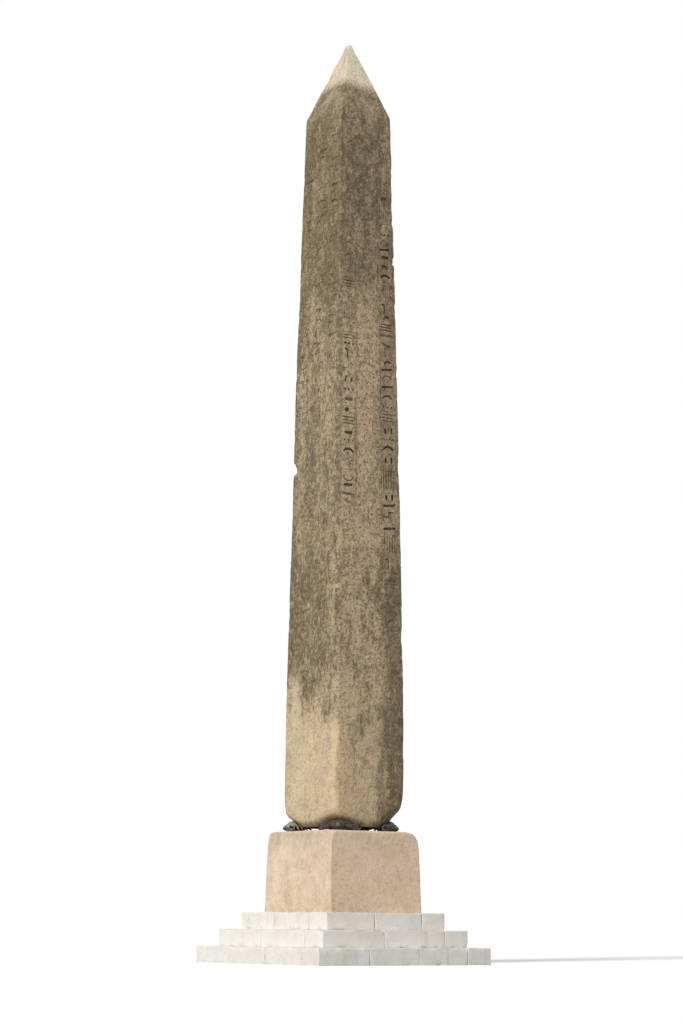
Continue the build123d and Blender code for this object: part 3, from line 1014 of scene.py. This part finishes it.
def clear_of_stone(p):
    """Points moved the shorter way out of the stone that rests on the crab: down, or out sideways."""
    h = np.maximum(p[:, 2] - SHAFT_FOOT, 0.0)
    half = stone_width(h) / 2
    east, north = p[:, 0] > 0, p[:, 1] > 0
    corner = np.where(north, np.where(east, 2, 3), np.where(east, 1, 0))
    radius = np.choose(corner, [stone_radius(c, h) for c in range(4)])
    q = np.abs(p[:, :2]) - (half - radius)[:, None]
    beyond = np.maximum(q, 0.0)
    reach = np.linalg.norm(beyond, axis=1)
    depth = SEAT_CLEARANCE - (reach + np.minimum(q.max(axis=1), 0.0) - radius)
    inside = (depth > 0) & (p[:, 2] > SHAFT_FOOT - 0.001)
    drop = p[:, 2] - SHAFT_FOOT + 0.001
    down = inside & ((drop < depth) | (reach < 1e-6))
    out = inside & ~down
    p[down, 2] -= drop[down]
    way = beyond[out] / reach[out][:, None] * np.sign(p[out][:, :2])
    p[out, :2] += way * depth[out][:, None]
    return p


def vectors(collection, key):
    """One property of every vertex or normal, as rows of three."""
    values = np.empty(len(collection) * 3)
    collection.foreach_get(key, values)
    return values.reshape(-1, 3)


def cast_crab(name, turn, reach, aside):
    """The crab's solid with its fine forms added, remeshed into one skin and given its relief."""
    node = frame["nodes"][name]
    place = (Matrix.Translation((0, 0, PEDESTAL_TOP)) @ Matrix.Rotation(math.radians(turn), 4, "Z")
             @ Matrix.Translation((reach, aside, 0)))
    bm = bmesh.new()
    bm.from_mesh(node.data)
    bm.transform(place.inverted() @ node.matrix_world)
    bm.from_mesh(CRAB_EXTRAS)
    mesh = bpy.data.meshes.new("cast_" + name)
    bm.to_mesh(mesh)
    bm.free()
    obj = placed("cast_" + name, mesh)
    remesh = obj.modifiers.new("skin", "REMESH")
    remesh.mode = "VOXEL"
    remesh.voxel_size = 0.007
    soften = obj.modifiers.new("soften", "SMOOTH")
    soften.factor = 0.5
    soften.iterations = 2
    ready = bpy.data.meshes.new_from_object(obj.evaluated_get(bpy.context.evaluated_depsgraph_get()))
    bpy.data.objects.remove(obj)
    p = vectors(ready.vertices, "co")
    p = p + vectors(ready.vertex_normals, "vector") * crab_relief(p)[:, None]
    p[:, 2] = np.clip(p[:, 2], 0.0, SHELL_TOP)
    turned = np.array(place)
    p = clear_of_stone(p @ turned[:3, :3].T + turned[:3, 3])
    ready.vertices.foreach_set("co", p.ravel())
    ready.update()
    ready.polygons.foreach_set("use_smooth", [True] * len(ready.polygons))
    ready.materials.clear()
    ready.materials.append(BRONZE)
    piece = placed("cast_" + name, ready)
    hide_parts(name)
    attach(piece, "root")


CRAB_EXTRAS = crab_extras()
for crab, (turn, reach, aside) in CRABS.items():
    cast_crab(crab, turn, reach, aside)


# The cores carried over as they are get their material
for obj in list(bpy.data.objects):
    if obj.type != "MESH" or not obj.name.endswith("_core"):
        continue
    if not obj.material_slots:
        obj.data.materials.append(RUBBLE)
    for slot in obj.material_slots:
        slot.material = RUBBLE


# Floor, light and camera

FLOOR_LIFT, FLOOR_REACH = 0.30, 400.0
SUN_FROM = (-0.72, -0.30, 0.625)
# The photograph's height and focal length in pixels, and the sensor's long side in millimetres
PHOTO_HEIGHT, FOCAL_PIXELS, SENSOR = 1024, 2513.7, 36


def split_by_eye(tree, output, unseen, seen):
    """One shader for what the camera sees directly, in a reflection or through glass, one for the other rays."""
    path = new_node(tree, "LightPath")
    out = path.outputs["Is Camera Ray"]
    for name in ("Is Glossy Ray", "Is Transmission Ray"):
        node = new_node(tree, "Math")
        node.operation = "MAXIMUM"
        tree.links.new(out, node.inputs[0])
        tree.links.new(path.outputs[name], node.inputs[1])
        out = node.outputs["Value"]
    mix = new_node(tree, "MixShader")
    tree.links.new(out, mix.inputs["Fac"])
    tree.links.new(unseen.outputs[0], mix.inputs[1])
    tree.links.new(seen.outputs[0], mix.inputs[2])
    tree.links.new(mix.outputs["Shader"], output.inputs["Surface"])


def studio():
    mesh = bpy.data.meshes.new("floor")
    corners = [(x * FLOOR_REACH, y * FLOOR_REACH, 0) for x, y in ((-1, -1), (1, -1), (1, 1), (-1, 1))]
    mesh.from_pydata(corners, [], [(0, 1, 2, 3)])
    floor = placed("floor", mesh)
    # To the camera the floor is as white as the backdrop and keeps the shadow; it throws less light back
    material, tree, shader = new_material("pale_floor", Base_Color=(0.90, 0.90, 0.90, 1), Roughness=1.0,
                                          Specular_IOR_Level=0.0, Emission_Color=(1, 1, 1, 1),
                                          Emission_Strength=FLOOR_LIFT)
    dull = new_node(tree, "BsdfDiffuse", Color=(0.55, 0.55, 0.55, 1))
    output = [node for node in tree.nodes if node.type == "OUTPUT_MATERIAL"][0]
    split_by_eye(tree, output, dull, shader)
    floor.data.materials.append(material)

    world = bpy.data.worlds.new("studio")
    bpy.context.scene.world = world
    world.use_nodes = True
    tree = world.node_tree
    tree.nodes.clear()
    ambient = new_node(tree, "Background", Color=(0.93, 0.96, 1.0, 1), Strength=0.36)
    white = new_node(tree, "Background", Color=(1, 1, 1, 1), Strength=1.0)
    split_by_eye(tree, new_node(tree, "OutputWorld"), ambient, white)

    sun = bpy.data.lights.new("key", "SUN")
    sun.energy = 2.4
    sun.angle = math.radians(11)
    sun.color = (1.0, 0.96, 0.90)
    lamp = placed("key", sun)
    lamp.rotation_euler = Vector(SUN_FROM).normalized().to_track_quat("Z", "Y").to_euler()
    lamp.location = (-30, -20, 40)


def place_camera():
    azimuth = math.radians(-36.388)
    distance, aside, eye = 66.0, 0.1035, 0.9988
    pitch, roll = 0.1627, 0.0074
    forward = Vector((-math.sin(azimuth), math.cos(azimuth), 0))
    right = Vector((math.cos(azimuth), math.sin(azimuth), 0))
    up = Vector((0, 0, 1))
    look = forward * math.cos(pitch) + up * math.sin(pitch)
    lift = up * math.cos(pitch) - forward * math.sin(pitch)
    across = right * math.cos(roll) + lift * math.sin(roll)
    upward = lift * math.cos(roll) - right * math.sin(roll)
    camera = bpy.data.cameras.new("camera")
    camera.lens = FOCAL_PIXELS * SENSOR / PHOTO_HEIGHT
    camera.sensor_width = SENSOR
    camera.clip_end = 2000
    obj = placed("camera", camera)
    place = right * -aside - forward * distance + up * eye
    turn = Matrix((across, upward, -look)).transposed().to_4x4()
    obj.matrix_world = Matrix.Translation(place) @ turn
    bpy.context.scene.camera = obj


studio()
place_camera()
bpy.context.scene.view_settings.view_transform = "Standard"
